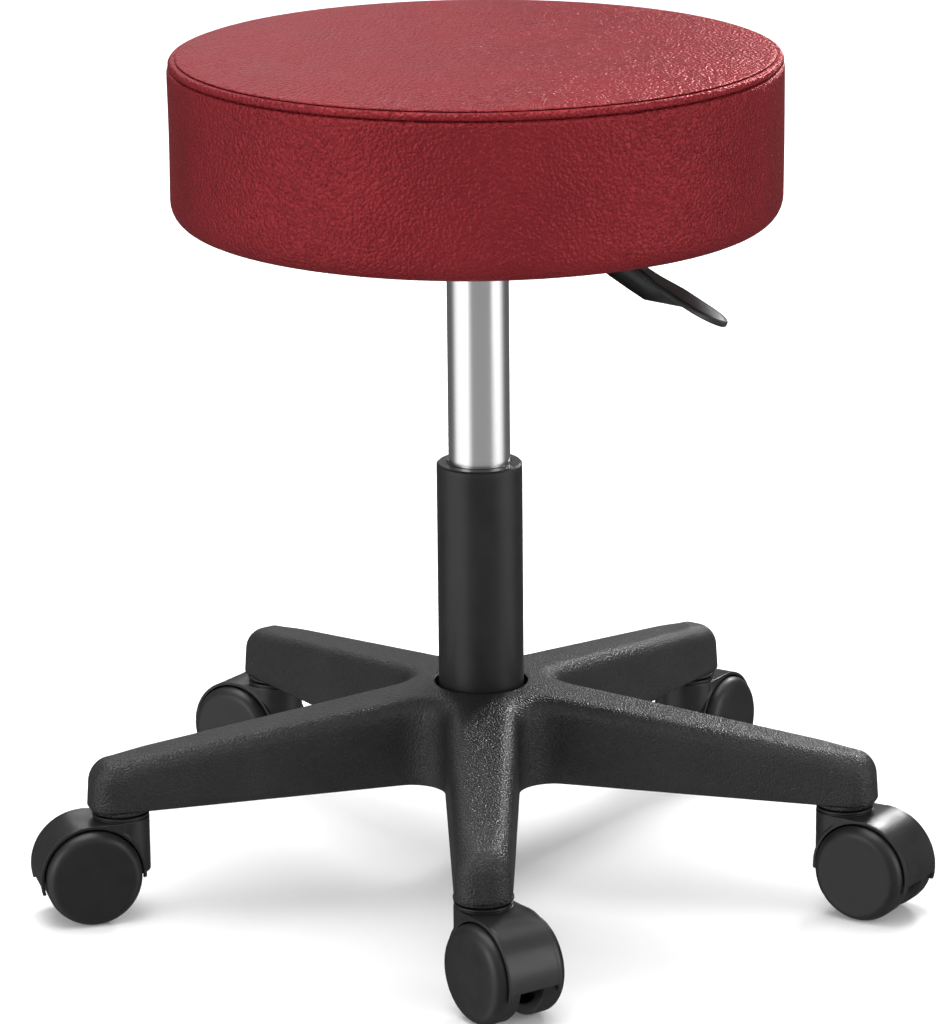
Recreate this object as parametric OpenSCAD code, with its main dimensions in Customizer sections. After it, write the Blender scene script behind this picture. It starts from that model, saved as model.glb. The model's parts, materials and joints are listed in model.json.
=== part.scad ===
// Rolling stylist stool: round padded seat on a gas lift column, five-leg base on twin-wheel casters.
// Millimetres, +Z up. The origin is on the floor, on the axis of the column.
// The front leg points along -Y.

/* [Seat] */
// Outer radius of the padded seat
seat_r = 175; // [165:1:185]
// Height of the top of the seat above the floor
seat_top_z = 496; // [490:0.5:510]
// Height of the underside of the padded edge
seat_bottom_z = 395.6; // [393:0.1:398]
// How far the sitting face is crowned above the upper seam
crown_h = 5.2; // [3:0.1:8]
// Radius of the flat middle of the sitting face
crown_flat_r = 100; // [60:1:130]
// Height of the welt band between the two seams
welt_h = 5.2; // [5:0.1:9]
// Thickness of the upholstery
skin_t = 1.5; // [1.2:0.1:2]
// Radius of the rolled lower edge
roll_r = 14; // [12:1:18]

/* [Column] */
// Outer radius of the outer tube
column_r = 25; // [25:0.5:26]
// Height of the rim of the outer tube, with its bush
column_top_z = 250; // [244:0.1:254]
// Radius of the bright pressure tube
tube_r = 18; // [17.5:0.1:18]
// Radius of the piston rod
rod_r = 5; // [4:0.5:6]

/* [Base] */
// Radius of the circle that the caster stems stand on
stem_circle_r = 220; // [210:1:235]
// Number of legs
leg_count = 5; // [5:1:5]
// Half width of a leg at its end
leg_tip_w = 16.2; // [16:0.1:18]
// Half width of a leg at the hub
leg_root_w = 21.9; // [20:0.1:24]
// Height of the top of the hub
hub_top_z = 117.5; // [116:0.1:120]
// Height of the top of a leg above its stem
leg_tip_z = 94.2; // [92:0.1:96]
// Height of the flat under each leg end, where the caster stem goes in
boss_z = 62.5; // [62:0.1:63.5]

/* [Casters] */
// Radius of a caster wheel
wheel_r = 28.2; // [27.5:0.1:28.4]
// Distance from the stem axis back to the wheel axle
trail = 19.7; // [18:0.1:22]
// Half width of the hood over the two wheels
hood_w = 17; // [16:0.1:17.5]
// Radius of the stem where it sits in the leg
stem_r = 5.5; // [5:0.1:6]

/* [Lever] */
// Horizontal length of the lever from its bend to its tip
lever_reach = 132.8; // [120:0.1:140]
// Slope of the lever below horizontal
lever_drop = 14.1; // [8:0.1:15]
// Half width of the paddle at its end
paddle_w = 11; // [10:0.5:13]
// Roll of the paddle about its length, its near edge up
paddle_roll = 17; // [0:1:20]

/* [Hidden] */
$fn = 96;
black = [0.13, 0.13, 0.135];
dark_steel = [0.24, 0.24, 0.25];
zinc = [0.70, 0.71, 0.73];
burgundy = [0.50, 0.14, 0.19];
run_gap = 0.05;

// heights of the seat stack
seam_z = seat_top_z - crown_h - welt_h;
welt_top_z = seat_top_z - crown_h;
welt_top_r = seat_r - 3.5;
board_z = seat_bottom_z + 10;
board_t = 12;
board_top_z = board_z + board_t;
board_r = seat_r - 17;
crown_power = 2.4;
crown_steps = 8;
flap_z = board_z + skin_t;
dust_t = 0.8;
dust_r = seat_r - 37;
rebate_r = dust_r - 20;
plate_top_z = board_z - dust_t;
plate_t = 2.5;
plate_z = plate_top_z - plate_t;
plate_w = 75;
bolt_at = 60;
bolt_r = 3;
bolt_recess = 2;
bolt_head_r = 5.8;
bolt_head_h = 4;
washer_t = 1.5;
washer_r = 8;
tee_r = 9;
tee_t = 1.5;
tee_barrel_r = 4.2;
staple_count = 24;
staple_in = 9;
staple_span = 10;
staple_wire = 0.9;
staple_leg = 8;
plate_corner = 10;

// the rolled lower edge: its big outer roll, and the small roll up to the board
roll_x = seat_r - roll_r;
roll_z = seat_bottom_z + roll_r;
tuck_r = 8;
tuck_x = roll_x - 5;
tuck_z = seat_bottom_z + tuck_r;

// the lift mechanism under the seat
housing_x = 45;
housing_y = 32;
housing_z = board_z - 26;
housing_flange = 7;
wall = 2;
pivot_x = 26;
pivot_z = board_z - 12;
pivot_r = 2.5;
ear_y = 8;
ear_front = 5;
ear_back = 4.5;
slot_w = 12;
slot_up = 6;
slot_down = 11;
pin_head_r = pivot_r + 1.2;
pin_head_t = 1.4;
button_r = 4;
button_top_z = board_z - 9.5;
button_foot_z = board_z - 53;
nose_z = board_z - 36;
nose_top_z = board_z - 14.5;
nose_r = 14;
nose_top_r = 13.4;
socket_r = 18.5;
socket_top_z = board_z - 13;
socket_lip = 2.5;
tongue_gap = 0.3;
tongue_t = 2.5;
tongue_w = 10;
tongue_back = 5;
bend = [54, 0, board_z - 19.4];
lever_yaw = -52.6;
lever_r = 4;
lever_boss_r = 6;
lever_boss_half = 6;
lever_len = lever_reach / cos(lever_drop);
rod_end_x = 76;
handle_x = 36;
handle_low = 1.5;
handle_high = 6;
handle_root_w = 8.5;
handle_edge = 1.2;
grip_body_w = 6.5;
grip_body_end_w = 7.5;
grip_body_low = -8;
grip_body_h = 10;
grip_ramp = 25;

// the gas lift
tube_foot_z = 190;
tube_in_r = tube_r - 2;
end_cap_t = 12;
plug_z = board_z - 63;
plug_top_z = board_z - 41;
piston_z = 226;
piston_t = 10;
seal_groove = 1.2;
bush_t = 3.2;
bush_z = column_top_z - 60;
column_rim_z = column_top_z - bush_t;
column_in_r = column_r - 2;
foot_z = boss_z + 1.5;
foot_r = 23.85;
taper_z = hub_top_z - 10;
end_plate_z = foot_z + 2;
end_plate_r = 21.9;
race_z = end_plate_z + 2;
race_t = 2;
race_gap = 3;
race_r = 18;
race_in_r = rod_r + 3;
ball_ring_r = 13;
ball_count = 12;
upper_race_z = race_z + race_t + race_gap;
shoulder_z = upper_race_z + race_t;
shoulder_t = 2;
shoulder_r = 9;
stop_t = 15;
stop_r = 12;
rod_foot_z = foot_z - 3;
clip_z = end_plate_z - 2.5;
clip_t = 1.5;

// the star base
leg_step = 360 / leg_count;
leg_root_x = 48;
leg_tip_x = stem_circle_r + 7.6;
leg_slope = 0.122;
leg_root_round = 12;
leg_tip_round = 11;
leg_root_foot_z = boss_z + 1.7;
leg_tip_foot_z = boss_z + 2.2;
hub_r = 47;
hub_round = 6;
hub_bore_r = 27.5;
armpit_r = 20;
armpit_drop = 7;
boss_r = 16.9;
boss_h = 12;
socket_depth = 25.4;
pocket_roof = 5;
// start, end and half width of the pockets in the underside of each leg
pockets = [[55, 100, 15], [104, 150, 13.8], [154, 199, 12.4]];
grip_z = boss_z + 17.4;
grip_t = 3;
grip_r = 6.2;
grip_in_r = 4.7;
stem_top_z = boss_z + 23.4;
collar_z = boss_z - 0.8;
collar_r = 8;
journal_r = 4;
journal_foot_z = 38;

// the casters: plan direction of each one's trail, in degrees from +X
caster_turn = [-56, -33.5, 57, 146, -165];
hood_r = wheel_r + 2.7;
hood_in_r = wheel_r + 0.8;
hood_top_z = boss_z - 1.1;
neck_r = 16.6;
hood_front_z = 26.5;
hood_rear_z = 24.5;
web_w = 6;
web_boss_r = 8;
axle_r = 3;
axle_w = 20;
wheel_in = 7;
wheel_edge = 18;
wheel_round = 5.5;
wheel_face = wheel_edge + wheel_round + 0.2;
wheel_hub_r = 8;
wheel_web_y = 17;
wheel_rim_r = 22;

// ---- helpers ----

// points on an arc about (cx, cy) from angle a to angle b
function arc(cx, cy, r, a, b, n = 10) =
    [for (i = [0 : n]) let (t = a + (b - a) * i / n) [cx + r * cos(t), cy + r * sin(t)]];

// a list back to front
function reverse(list) = [for (i = [len(list) - 1 : -1 : 0]) list[i]];

// a plain ring
module ring(r_out, r_in, z, h) {
    translate([0, 0, z])
        difference() {
            cylinder(h = h, r = r_out);
            translate([0, 0, -1])
                cylinder(h = h + 2, r = r_in);
        }
}

// four copies at the corners of a square
module at_bolts() {
    for (x = [-bolt_at, bolt_at])
        for (y = [-bolt_at, bolt_at])
            translate([x, y, 0])
                children();
}

// leg number i, with +X along the leg
module at_leg(i) {
    rotate([0, 0, -90 + i * leg_step])
        children();
}

// all five stems
module at_stems() {
    for (i = [0 : leg_count - 1])
        at_leg(i)
            translate([stem_circle_r, 0, 0])
                children();
}

// caster number i: the stem axis is Z and the trail runs along +X
module at_caster(i) {
    at_leg(i)
        translate([stem_circle_r, 0, 0])
            rotate([0, 0, caster_turn[i] + 90 - i * leg_step])
                children();
}

// the lever beyond its bend, with +X along the lever
module at_lever() {
    translate(bend)
        rotate([0, lever_drop, lever_yaw])
            children();
}

// ---- star base ----

// height of the top of a leg at distance x from the column axis
function leg_top(x) = leg_tip_z + leg_slope * (stem_circle_r - x);

// one rounded leg, solid
module leg_body() {
    root_y = leg_root_w - leg_root_round;
    tip_y = leg_tip_w - leg_tip_round;
    root_top = leg_top(leg_root_x);
    tip_top = leg_top(leg_tip_x);
    hull() {
        for (s = [-1, 1]) {
            translate([leg_root_x, s * root_y, root_top - leg_root_round])
                sphere(r = leg_root_round, $fn = 32);
            translate([leg_root_x, s * root_y, leg_root_foot_z])
                cylinder(h = 1, r = leg_root_round, $fn = 32);
            translate([leg_tip_x, s * tip_y, tip_top - leg_tip_round])
                sphere(r = leg_tip_round, $fn = 32);
            translate([leg_tip_x, s * tip_y, leg_tip_foot_z])
                cylinder(h = 1, r = leg_tip_round, $fn = 32);
        }
    }
}

// one moulded pocket in the underside of a leg, from x0 to x1, with a sloping roof
module leg_pocket(x0, x1, half_w) {
    rotate([90, 0, 0])
        translate([0, 0, -half_w])
            linear_extrude(height = 2 * half_w)
                polygon([[x0, foot_z - 10], [x1, foot_z - 10],
                    [x1, leg_top(x1) - pocket_roof], [x0, leg_top(x0) - pocket_roof]]);
}

// concave corner between two legs
module armpit() {
    centre_r = (leg_root_w + armpit_r) / sin(leg_step / 2);
    touch_x = centre_r * cos(leg_step / 2);
    translate([0, 0, leg_root_foot_z])
        linear_extrude(height = hub_top_z - leg_root_foot_z - armpit_drop)
            difference() {
                polygon([[0, 0],
                    [touch_x, leg_root_w - 1],
                    [touch_x * cos(leg_step) + (leg_root_w - 1) * sin(leg_step),
                        touch_x * sin(leg_step) - (leg_root_w - 1) * cos(leg_step)]]);
                translate([centre_r * cos(leg_step / 2), centre_r * sin(leg_step / 2)])
                    circle(r = armpit_r);
            }
}

// hub barrel with a rounded shoulder
module hub_body() {
    rotate_extrude()
        polygon(concat([[0, foot_z], [hub_r, foot_z]],
            arc(hub_r - hub_round, hub_top_z - hub_round, hub_round, 0, 90, 6),
            [[0, hub_top_z]]));
}

// blind hole for one stem, with a recess for its grip ring
module stem_hole() {
    translate([0, 0, boss_z - 5])
        cylinder(h = socket_depth + 5, r = stem_r, $fn = 48);
    translate([0, 0, grip_z])
        cylinder(h = grip_t, r = grip_r, $fn = 48);
}

module star_base() {
    color(black)
        difference() {
            union() {
                hub_body();
                for (i = [0 : leg_count - 1]) {
                    at_leg(i)
                        leg_body();
                    at_leg(i)
                        armpit();
                }
                at_stems()
                    translate([0, 0, boss_z])
                        cylinder(h = boss_h, r = boss_r);
            }
            translate([0, 0, foot_z - 5])
                cylinder(h = hub_top_z, r = hub_bore_r);
            at_stems()
                stem_hole();
            for (i = [0 : leg_count - 1])
                at_leg(i)
                    for (p = pockets)
                        leg_pocket(p[0], p[1], p[2]);
        }
}

module hub_sleeve() {
    color(dark_steel)
        rotate_extrude()
            polygon([[foot_r, foot_z], [hub_bore_r, foot_z], [hub_bore_r, taper_z], [column_r, taper_z]]);
}

// ---- column ----

module column_tube() {
    lip_r = end_plate_r - 2.9;
    color(black)
        rotate_extrude()
            polygon([[lip_r, foot_z], [foot_r, foot_z], [column_r, taper_z], [column_r, column_rim_z],
                [column_in_r, column_rim_z], [column_in_r, taper_z], [end_plate_r, end_plate_z + 4],
                [end_plate_r, end_plate_z], [lip_r, end_plate_z]]);
}

module column_end_plate() {
    color(dark_steel)
        ring(end_plate_r, rod_r + run_gap, end_plate_z, race_z - end_plate_z);
}

module guide_bush() {
    color(black)
        rotate_extrude()
            polygon([[tube_r + run_gap, bush_z], [column_in_r, bush_z], [column_in_r, column_rim_z],
                [column_r, column_rim_z], [column_r, column_top_z - 1], [column_r - 1, column_top_z],
                [tube_r + 1.2, column_top_z], [tube_r + run_gap, column_top_z - 1.2]]);
}

module bearing_lower_race() {
    color(zinc)
        ring(race_r, race_in_r, race_z, race_t);
}

module stem_grip_rings() {
    color(zinc)
        at_stems()
            ring(grip_r, grip_in_r, grip_z, grip_t);
}

// ---- rod group ----

module piston_rod() {
    color(zinc)
        rotate_extrude()
            polygon([[0, rod_foot_z], [rod_r - 0.6, rod_foot_z], [rod_r, rod_foot_z + 0.6],
                [rod_r, shoulder_z], [shoulder_r, shoulder_z], [shoulder_r, shoulder_z + shoulder_t],
                [rod_r, shoulder_z + shoulder_t], [rod_r, piston_z + piston_t], [0, piston_z + piston_t]]);
}

module piston() {
    color(zinc)
        difference() {
            ring(tube_in_r - run_gap, rod_r, piston_z, piston_t);
            ring(tube_in_r + 2, tube_in_r - seal_groove,
                piston_z + piston_t / 2 - seal_groove, 2 * seal_groove);
        }
}

module bearing_upper_race() {
    color(zinc)
        ring(race_r, rod_r, upper_race_z, race_t);
}

module bearing_balls() {
    color(zinc)
        for (k = [0 : ball_count - 1])
            rotate([0, 0, k * 360 / ball_count])
                translate([ball_ring_r, 0, upper_race_z - race_gap / 2])
                    sphere(r = race_gap / 2 - run_gap, $fn = 24);
}

module bump_stop() {
    color(black)
        ring(stop_r, rod_r, shoulder_z + shoulder_t, stop_t);
}

module rod_retaining_clip() {
    color(zinc)
        ring(shoulder_r, rod_r, clip_z, clip_t);
}

// ---- seat ----

// outline of the sitting face from the middle to the upper seam, lowered by d and drawn in by e
function crown(d, e) = [for (i = [0 : crown_steps])
    let (t = i / crown_steps, x = crown_flat_r + (welt_top_r - crown_flat_r - e) * t)
        [x, seat_top_z - crown_h * pow(t, crown_power) - d]];

// the inner lower corner of the welt, where the covers are sewn
seam_in = [welt_top_r - skin_t, welt_top_z - skin_t];

// outline of the side and the rolled edge, drawn in by d, from height z to the board
function side_line(d, z) = concat([[seat_r - d, z]],
    arc(roll_x, roll_z, roll_r - d, 0, -90, 10),
    arc(tuck_x, tuck_z, tuck_r - d, -90, -180, 6));

module seat_cover_top() {
    color(burgundy)
        rotate_extrude($fn = 144)
            polygon(concat([[0, seat_top_z]], crown(0, 0), reverse(crown(skin_t, skin_t)),
                [[0, seat_top_z - skin_t]]));
}

module seat_welt() {
    bulge = 0.7;
    mid = [(welt_top_r + seat_r) / 2 + bulge + 0.5, (welt_top_z + seam_z) / 2 + bulge];
    color(burgundy)
        rotate_extrude($fn = 144)
            polygon([[welt_top_r, welt_top_z], [welt_top_r + 1.4, welt_top_z - 0.9], mid,
                [seat_r, seam_z + 2], [seat_r, seam_z], [seat_r - skin_t, seam_z], seam_in]);
}

module seat_cover_side() {
    color(burgundy)
        rotate_extrude($fn = 144)
            polygon(concat(side_line(0, seam_z), [[tuck_x - tuck_r, board_z], [rebate_r, board_z],
                [rebate_r, flap_z], [tuck_x - tuck_r + skin_t, flap_z]], reverse(side_line(skin_t, seam_z))));
}

module seat_foam() {
    color([0.93, 0.86, 0.62])
        rotate_extrude($fn = 144)
            polygon(concat([[0, seat_top_z - skin_t]], crown(skin_t, skin_t),
                [[seat_r - skin_t, seam_z], [seat_r - skin_t, board_top_z], [0, board_top_z]]));
}

module seat_edge_foam() {
    color([0.93, 0.86, 0.62])
        rotate_extrude($fn = 144)
            polygon(concat(side_line(skin_t, board_top_z),
                [[tuck_x - tuck_r + skin_t, flap_z], [board_r, flap_z], [board_r, board_top_z]]));
}

module seat_board() {
    color([0.76, 0.60, 0.40])
        difference() {
            rotate_extrude()
                polygon([[0, board_z], [rebate_r, board_z], [rebate_r, flap_z], [board_r, flap_z],
                    [board_r, board_top_z], [0, board_top_z]]);
            at_bolts() {
                translate([0, 0, board_z - 1])
                    cylinder(h = board_t + 2, r = tee_barrel_r, $fn = 32);
                translate([0, 0, board_top_z - tee_t])
                    cylinder(h = tee_t + 1, r = tee_r, $fn = 48);
            }
        }
}

module dust_cover() {
    color([0.09, 0.09, 0.09])
        difference() {
            translate([0, 0, plate_top_z])
                cylinder(h = dust_t, r = dust_r);
            at_bolts()
                translate([0, 0, plate_top_z - 1])
                    cylinder(h = dust_t + 2, r = tee_barrel_r, $fn = 32);
        }
}

module staples() {
    color(zinc)
        for (k = [0 : staple_count - 1])
            rotate([0, 0, (k + 0.5) * 360 / staple_count])
                translate([dust_r - staple_in, 0, plate_top_z - staple_wire]) {
                    translate([-staple_wire / 2, -staple_span / 2, 0])
                        cube([staple_wire, staple_span, staple_wire]);
                    for (s = [-1, 1])
                        translate([-staple_wire / 2, (s * (staple_span - staple_wire) - staple_wire) / 2, 0])
                            cube([staple_wire, staple_wire, staple_leg]);
                }
}

module tee_nuts() {
    color(zinc)
        at_bolts() {
            ring(tee_r, bolt_r, board_top_z - tee_t, tee_t);
            ring(tee_barrel_r, bolt_r, board_z + 1, board_t - tee_t - 1);
        }
}

module seat_bolts() {
    head_z = plate_z - washer_t;
    color(zinc)
        at_bolts() {
            translate([0, 0, head_z])
                cylinder(h = board_top_z - bolt_recess - head_z, r = bolt_r, $fn = 32);
            translate([0, 0, head_z - bolt_head_h])
                cylinder(h = bolt_head_h, r = bolt_head_r, $fn = 6);
        }
}

module seat_washers() {
    color(zinc)
        at_bolts()
            ring(washer_r, bolt_r, plate_z - washer_t, washer_t);
}

// ---- lift mechanism ----

module seat_plate() {
    color(dark_steel)
        difference() {
            translate([0, 0, plate_z])
                linear_extrude(height = plate_t)
                    union() {
                        square([2 * plate_w, 2 * (plate_w - plate_corner)], center = true);
                        square([2 * (plate_w - plate_corner), 2 * plate_w], center = true);
                        for (x = [-1, 1])
                            for (y = [-1, 1])
                                translate([x * (plate_w - plate_corner), y * (plate_w - plate_corner)])
                                    circle(r = plate_corner);
                    }
            at_bolts()
                translate([0, 0, plate_z - 1])
                    cylinder(h = plate_t + 2, r = bolt_r + 0.4, $fn = 32);
        }
}

module mechanism_housing() {
    height = plate_z - housing_z;
    color(dark_steel) {
        difference() {
            union() {
                translate([-housing_x, -housing_y, housing_z])
                    cube([2 * housing_x, 2 * housing_y, height]);
                translate([-housing_x - housing_flange, -housing_y - housing_flange, plate_z - wall])
                    cube([2 * (housing_x + housing_flange), 2 * (housing_y + housing_flange), wall]);
            }
            translate([-housing_x + wall, -housing_y + wall, housing_z + wall])
                cube([2 * (housing_x - wall), 2 * (housing_y - wall), height]);
            translate([0, 0, housing_z - 1])
                cylinder(h = wall + 2, r = socket_r);
            translate([housing_x - 2 * wall, -slot_w / 2, pivot_z - slot_down])
                cube([4 * wall, slot_w, slot_down + slot_up]);
        }
        difference() {
            for (s = [-1, 1])
                translate([pivot_x - ear_back, s * (ear_y + wall / 2) - wall / 2, housing_z + wall])
                    cube([ear_back + ear_front, wall, pivot_z + ear_front - housing_z - wall]);
            translate([pivot_x, 20, pivot_z])
                rotate([90, 0, 0])
                    cylinder(h = 40, r = pivot_r, $fn = 32);
        }
    }
}

module taper_socket() {
    lip_r = socket_r + socket_lip;
    color(zinc)
        rotate_extrude()
            polygon([[nose_r, nose_z], [socket_r, nose_z], [socket_r, housing_z + wall],
                [lip_r, housing_z + wall], [lip_r, housing_z + wall + socket_lip],
                [socket_r, housing_z + wall + socket_lip],
                [socket_r, socket_top_z], [nose_top_r, socket_top_z], [nose_top_r, nose_top_z]]);
}

module lever_pivot_pin() {
    pin_half = ear_y + wall + 2;
    color(zinc)
        translate([pivot_x, pin_half, pivot_z])
            rotate([90, 0, 0]) {
                cylinder(h = 2 * pin_half, r = pivot_r, $fn = 32);
                cylinder(h = pin_head_t, r = pin_head_r, $fn = 32);
                translate([0, 0, 2 * pin_half - pin_head_t])
                    cylinder(h = pin_head_t, r = pin_head_r, $fn = 32);
            }
}

module pressure_tube() {
    color([0.82, 0.83, 0.85])
        rotate_extrude()
            polygon([[tube_in_r, tube_foot_z], [tube_r, tube_foot_z], [tube_r, nose_z - 4],
                [nose_r + 1.5, nose_z], [nose_r, nose_z], [nose_top_r, nose_top_z],
                [button_r + run_gap, nose_top_z], [button_r + run_gap, plug_top_z],
                [tube_in_r, plug_top_z]]);
}

module tube_end_cap() {
    color(black)
        ring(tube_in_r, rod_r + run_gap, tube_foot_z, end_cap_t);
}

module valve_plug() {
    color(zinc)
        difference() {
            translate([0, 0, plug_z])
                cylinder(h = plug_top_z - plug_z, r = tube_in_r);
            translate([0, 0, button_foot_z - 5])
                cylinder(h = plug_top_z - button_foot_z + 6, r = button_r + run_gap, $fn = 48);
        }
}

module release_button() {
    color(zinc)
        translate([0, 0, button_foot_z])
            cylinder(h = button_top_z - button_foot_z, r = button_r, $fn = 48);
}

// ---- height lever ----

module lever_arm() {
    run = [bend[0] - pivot_x, 0, bend[2] - pivot_z];
    color(dark_steel)
        difference() {
            union() {
                translate([-tongue_back, -tongue_w / 2, button_top_z + tongue_gap])
                    cube([pivot_x + tongue_back, tongue_w, tongue_t]);
                translate([pivot_x, lever_boss_half, pivot_z])
                    rotate([90, 0, 0])
                        cylinder(h = 2 * lever_boss_half, r = lever_boss_r, $fn = 48);
                translate([pivot_x, 0, pivot_z])
                    rotate([0, 90 + atan(-run[2] / run[0]), 0])
                        cylinder(h = norm(run), r = lever_r, $fn = 48);
                translate(bend)
                    sphere(r = lever_r + 0.6, $fn = 48);
                at_lever()
                    rotate([0, 90, 0])
                        cylinder(h = rod_end_x, r = lever_r, $fn = 48);
            }
            translate([pivot_x, housing_y, pivot_z])
                rotate([90, 0, 0])
                    cylinder(h = 2 * housing_y, r = pivot_r + run_gap, $fn = 48);
        }
}

// the paddle's plate, with a bevelled upper edge
module paddle_plate() {
    plate_h = handle_high - handle_low;
    hull() {
        translate([handle_x + handle_root_w, 0, handle_low])
            cylinder(h = plate_h - handle_edge, r = handle_root_w, $fn = 32);
        translate([handle_x + handle_root_w, 0, handle_low])
            cylinder(h = plate_h, r = handle_root_w - handle_edge, $fn = 32);
        translate([lever_len - paddle_w, 0, handle_low])
            cylinder(h = plate_h - handle_edge, r = paddle_w, $fn = 32);
        translate([lever_len - paddle_w, 0, handle_low])
            cylinder(h = plate_h, r = paddle_w - handle_edge, $fn = 32);
    }
}

// the body under the plate that grips the rod
module grip_body() {
    hull() {
        translate([handle_x + grip_body_w, 0, grip_body_low])
            cylinder(h = grip_body_h, r = grip_body_w, $fn = 32);
        translate([rod_end_x - 4, 0, grip_body_low])
            cylinder(h = grip_body_h, r = grip_body_end_w, $fn = 32);
        translate([rod_end_x - 4 + grip_ramp, 0, handle_low])
            cylinder(h = 1, r = grip_body_end_w, $fn = 32);
    }
}

module lever_handle() {
    color(black)
        at_lever()
            difference() {
                rotate([-paddle_roll, 0, 0])
                    union() {
                        paddle_plate();
                        grip_body();
                    }
                translate([handle_x - 5, 0, 0])
                    rotate([0, 90, 0])
                        cylinder(h = rod_end_x - handle_x + 5, r = lever_r, $fn = 48);
            }
}

// ---- casters ----

module stem() {
    color(zinc)
        rotate_extrude($fn = 48)
            polygon([[0, journal_foot_z], [journal_r - 0.5, journal_foot_z],
                [journal_r, journal_foot_z + 0.5], [journal_r, collar_z],
                [collar_r, collar_z], [collar_r, boss_z], [stem_r, boss_z],
                [stem_r, grip_z], [grip_in_r, grip_z],
                [grip_in_r, grip_z + grip_t], [stem_r, grip_z + grip_t],
                [stem_r, stem_top_z - 1], [stem_r - 1, stem_top_z], [0, stem_top_z]]);
}

// a block from y = -half_w to half_w, in the shape of an outline in x and z
module slab(half_w) {
    translate([0, half_w, 0])
        rotate([90, 0, 0])
            linear_extrude(height = 2 * half_w)
                children();
}

// everything under the sloping lower edge of the hood
module below_hood() {
    rear_x = trail + hood_r + 2;
    slab(2 * hood_w)
        polygon([[-neck_r - 1, -hood_r], [rear_x, -hood_r],
            [rear_x, hood_rear_z], [-neck_r - 1, hood_front_z]]);
}

module hood() {
    color(black)
        difference() {
            union() {
                difference() {
                    union() {
                        slab(hood_w)
                            translate([trail, wheel_r])
                                circle(r = hood_r);
                        cylinder(h = hood_top_z, r = neck_r);
                    }
                    below_hood();
                }
                translate([trail, web_w, wheel_r])
                    rotate([90, 0, 0])
                        cylinder(h = 2 * web_w, r = web_boss_r, $fn = 48);
            }
            for (s = [0, 1])
                mirror([0, s, 0])
                    translate([trail, hood_w + 5, wheel_r])
                        rotate([90, 0, 0])
                            cylinder(h = hood_w + 5 - web_w, r = hood_in_r);
            translate([0, 0, journal_foot_z - 1])
                cylinder(h = boss_z - journal_foot_z, r = journal_r + run_gap, $fn = 48);
            translate([trail, axle_w, wheel_r])
                rotate([90, 0, 0])
                    cylinder(h = 2 * axle_w, r = axle_r, $fn = 48);
        }
}

module axle() {
    color(zinc)
        translate([trail, axle_w, wheel_r])
            rotate([90, 0, 0])
                cylinder(h = 2 * axle_w, r = axle_r, $fn = 48);
}

// one wheel, on the +Y side of the web
module wheel() {
    color(black)
        translate([trail, 0, wheel_r])
            rotate([-90, 0, 0])
                rotate_extrude()
                    polygon(concat([[axle_r + run_gap, wheel_in], [wheel_hub_r, wheel_in],
                        [wheel_hub_r, wheel_web_y], [wheel_rim_r, wheel_web_y], [wheel_rim_r, wheel_in + 0.6],
                        [wheel_r - 1, wheel_in + 0.6], [wheel_r, wheel_in + 1.6]],
                        arc(wheel_r - wheel_round, wheel_edge, wheel_round, 0, 90, 8),
                        [[0, wheel_face], [0, axle_w + 0.3], [axle_r + run_gap, axle_w + 0.3]]));
}

module other_wheel() {
    mirror([0, 1, 0])
        wheel();
}

// one caster's piece goes to the caster's place
module caster_1_stem() at_caster(0) stem();
module caster_1_hood() at_caster(0) hood();
module caster_1_axle() at_caster(0) axle();
module caster_1_wheel_a() at_caster(0) wheel();
module caster_1_wheel_b() at_caster(0) other_wheel();
module caster_2_stem() at_caster(1) stem();
module caster_2_hood() at_caster(1) hood();
module caster_2_axle() at_caster(1) axle();
module caster_2_wheel_a() at_caster(1) wheel();
module caster_2_wheel_b() at_caster(1) other_wheel();
module caster_3_stem() at_caster(2) stem();
module caster_3_hood() at_caster(2) hood();
module caster_3_axle() at_caster(2) axle();
module caster_3_wheel_a() at_caster(2) wheel();
module caster_3_wheel_b() at_caster(2) other_wheel();
module caster_4_stem() at_caster(3) stem();
module caster_4_hood() at_caster(3) hood();
module caster_4_axle() at_caster(3) axle();
module caster_4_wheel_a() at_caster(3) wheel();
module caster_4_wheel_b() at_caster(3) other_wheel();
module caster_5_stem() at_caster(4) stem();
module caster_5_hood() at_caster(4) hood();
module caster_5_axle() at_caster(4) axle();
module caster_5_wheel_a() at_caster(4) wheel();
module caster_5_wheel_b() at_caster(4) other_wheel();

star_base();
hub_sleeve();
column_tube();
column_end_plate();
guide_bush();
bearing_lower_race();
stem_grip_rings();
piston_rod();
piston();
bearing_upper_race();
bearing_balls();
bump_stop();
rod_retaining_clip();
seat_cover_top();
seat_welt();
seat_cover_side();
seat_foam();
seat_edge_foam();
seat_board();
dust_cover();
staples();
tee_nuts();
seat_bolts();
seat_washers();
seat_plate();
mechanism_housing();
taper_socket();
lever_pivot_pin();
pressure_tube();
tube_end_cap();
valve_plug();
lever_arm();
lever_handle();
release_button();
caster_1_stem();
caster_1_hood();
caster_1_axle();
caster_1_wheel_a();
caster_1_wheel_b();
caster_2_stem();
caster_2_hood();
caster_2_axle();
caster_2_wheel_a();
caster_2_wheel_b();
caster_3_stem();
caster_3_hood();
caster_3_axle();
caster_3_wheel_a();
caster_3_wheel_b();
caster_4_stem();
caster_4_hood();
caster_4_axle();
caster_4_wheel_a();
caster_4_wheel_b();
caster_5_stem();
caster_5_hood();
caster_5_axle();
caster_5_wheel_a();
caster_5_wheel_b();
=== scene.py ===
import json
import math

import bmesh
import bpy
import numpy as np
from mathutils import Matrix, Vector

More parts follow.
